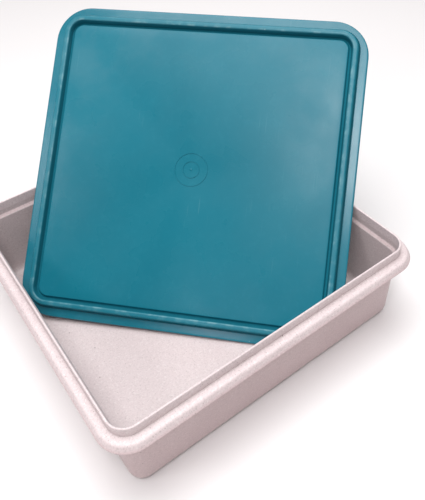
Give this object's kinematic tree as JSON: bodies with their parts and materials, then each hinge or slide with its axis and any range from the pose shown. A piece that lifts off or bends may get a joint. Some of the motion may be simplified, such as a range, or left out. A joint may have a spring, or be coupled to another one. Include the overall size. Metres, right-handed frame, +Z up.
{
  "type": "square food storage tub with press-on lid",
  "caption": "Shallow square plastic food tub with a flanged rim, and a flat press-on seal lid standing in it and leaning back on the rim.",
  "frame": {"origin": "middle of the tub's flat underside", "axes": "+Z up, X and Y along the tub's sides; the lid stands diagonally in the tub and leans back towards +X +Y"},
  "size_m": [0.3082, 0.3075, 0.1752],
  "materials": {
    "tub_plastic": "satin moulded plastic with a fine granite speckle",
    "lid_plastic": "soft satin sheen, flexible moulded plastic with light scuffs"
  },
  "bodies": {
    "tub": {"tub": "tub_plastic"},
    "seal_lid": {"seal_lid": "lid_plastic"}
  },
  "joints": [
    {"name": "lid_lift", "type": "slide", "parent": "tub", "child": "seal_lid", "axis": [0, 0, 1], "range_m": [0, 0.15]}
  ]
}
